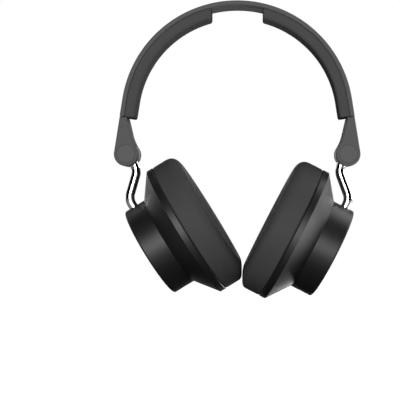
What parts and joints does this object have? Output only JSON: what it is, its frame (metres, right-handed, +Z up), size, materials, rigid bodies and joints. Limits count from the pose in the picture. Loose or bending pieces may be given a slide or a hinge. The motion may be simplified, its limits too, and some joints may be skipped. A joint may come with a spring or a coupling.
{
  "type": "office headset",
  "caption": "Over-ear headset with a sprung padded headband, sliding arms, folding tube yokes and round closed ear cups with soft cushions.",
  "frame": {"origin": "middle of the underside of the headband shell at its crown, in the gap between the two band pads, where a hanger carries the headset", "axes": "+Z up out of the crown, +X to the right of someone who faces the front, -Y is the front; the arch lies in the XZ plane"},
  "size_m": [0.1678, 0.097, 0.2031],
  "materials": {
    "band_plastic": "matte",
    "cup_plastic": "satin",
    "inner_plastic": "matte",
    "pad_leather": "matte",
    "cushion_leather": "satin",
    "tube_chrome": "polished",
    "barrel_paint": "satin",
    "spring_steel": "brushed",
    "magnet_steel": "satin",
    "socket_steel": "satin",
    "nylon": "satin",
    "diaphragm_film": "gloss",
    "grille_paint": "satin",
    "battery_foil": "satin",
    "board_laminate": "satin",
    "key_plastic": "satin"
  },
  "bodies": {
    "headband": {"headband_shell": "band_plastic", "band_spring": "spring_steel", "band_pad_left": "pad_leather", "band_pad_right": "pad_leather", "pad_base_left": "inner_plastic", "pad_base_right": "inner_plastic"},
    "arm_left": {"arm_left": "band_plastic", "slider_left": "spring_steel", "hinge_pin_left": "spring_steel", "hinge_caps_left": "band_plastic", "hinge_washers_left": "nylon", "arm_microphone": "nylon"},
    "yoke_left": {"hinge_barrel_left": "barrel_paint", "yoke_tube_left": "tube_chrome", "stem_clip_left": "spring_steel"},
    "cup_left": {"stem_bush_left": "nylon", "outer_can_left": "cup_plastic", "outer_cap_left": "cup_plastic", "cup_housing_left": "cup_plastic", "rim_ring_left": "cup_plastic", "baffle_left": "inner_plastic", "baffle_screws_left": "spring_steel", "cushion_ring_left": "inner_plastic", "ear_cushion_left": "cushion_leather", "driver_frame_left": "inner_plastic", "driver_magnet_left": "magnet_steel", "diaphragm_left": "diaphragm_film", "driver_grille_left": "grille_paint", "battery": "battery_foil", "audio_socket": "nylon"},
    "arm_right": {"arm_right": "band_plastic", "slider_right": "spring_steel", "hinge_pin_right": "spring_steel", "hinge_caps_right": "band_plastic", "hinge_washers_right": "nylon"},
    "yoke_right": {"hinge_barrel_right": "barrel_paint", "yoke_tube_right": "tube_chrome", "stem_clip_right": "spring_steel"},
    "cup_right": {"stem_bush_right": "nylon", "outer_can_right": "cup_plastic", "outer_cap_right": "cup_plastic", "cup_housing_right": "cup_plastic", "rim_ring_right": "cup_plastic", "baffle_right": "inner_plastic", "baffle_screws_right": "spring_steel", "cushion_ring_right": "inner_plastic", "ear_cushion_right": "cushion_leather", "driver_frame_right": "inner_plastic", "driver_magnet_right": "magnet_steel", "diaphragm_right": "diaphragm_film", "driver_grille_right": "grille_paint", "circuit_board": "board_laminate", "usb_socket": "socket_steel", "key_switches": "nylon"},
    "volume_down_key": {"volume_down_key": "key_plastic"},
    "power_key": {"power_key": "key_plastic"},
    "volume_up_key": {"volume_up_key": "key_plastic"}
  },
  "joints": [
    {"name": "size_slide_left", "type": "slide", "parent": "headband", "child": "arm_left", "axis": [-0.1576, 0, -0.9875], "range_m": [0, 0.018]},
    {"name": "fold_left", "type": "hinge", "parent": "arm_left", "child": "yoke_left", "pos_m": [-0.07558, 0, -0.10113], "axis": [0, 1, 0], "range_deg": [0, 45]},
    {"name": "swivel_left", "type": "hinge", "parent": "yoke_left", "child": "cup_left", "pos_m": [-0.07151, 0, -0.13714], "axis": [-0.524, 0, 0.8517], "range_deg": [-8, 8]},
    {"name": "size_slide_right", "type": "slide", "parent": "headband", "child": "arm_right", "axis": [0.1576, 0, -0.9875], "range_m": [0, 0.018]},
    {"name": "fold_right", "type": "hinge", "parent": "arm_right", "child": "yoke_right", "pos_m": [0.07558, 0, -0.10113], "axis": [0, -1, 0], "range_deg": [0, 45]},
    {"name": "swivel_right", "type": "hinge", "parent": "yoke_right", "child": "cup_right", "pos_m": [0.07428, 0, -0.13734], "axis": [-0.4571, 0, -0.8894], "range_deg": [-8, 8]},
    {"name": "volume_down_key_press", "type": "slide", "parent": "cup_right", "child": "volume_down_key", "axis": [0.1488, -0.9455, 0.2896], "range_m": [0, 0.0005], "stiffness_N_per_m": 900},
    {"name": "power_key_press", "type": "slide", "parent": "cup_right", "child": "power_key", "axis": [0, -1, 0], "range_m": [0, 0.0005], "stiffness_N_per_m": 900},
    {"name": "volume_up_key_press", "type": "slide", "parent": "cup_right", "child": "volume_up_key", "axis": [-0.1488, -0.9455, -0.2896], "range_m": [0, 0.0005], "stiffness_N_per_m": 900}
  ]
}
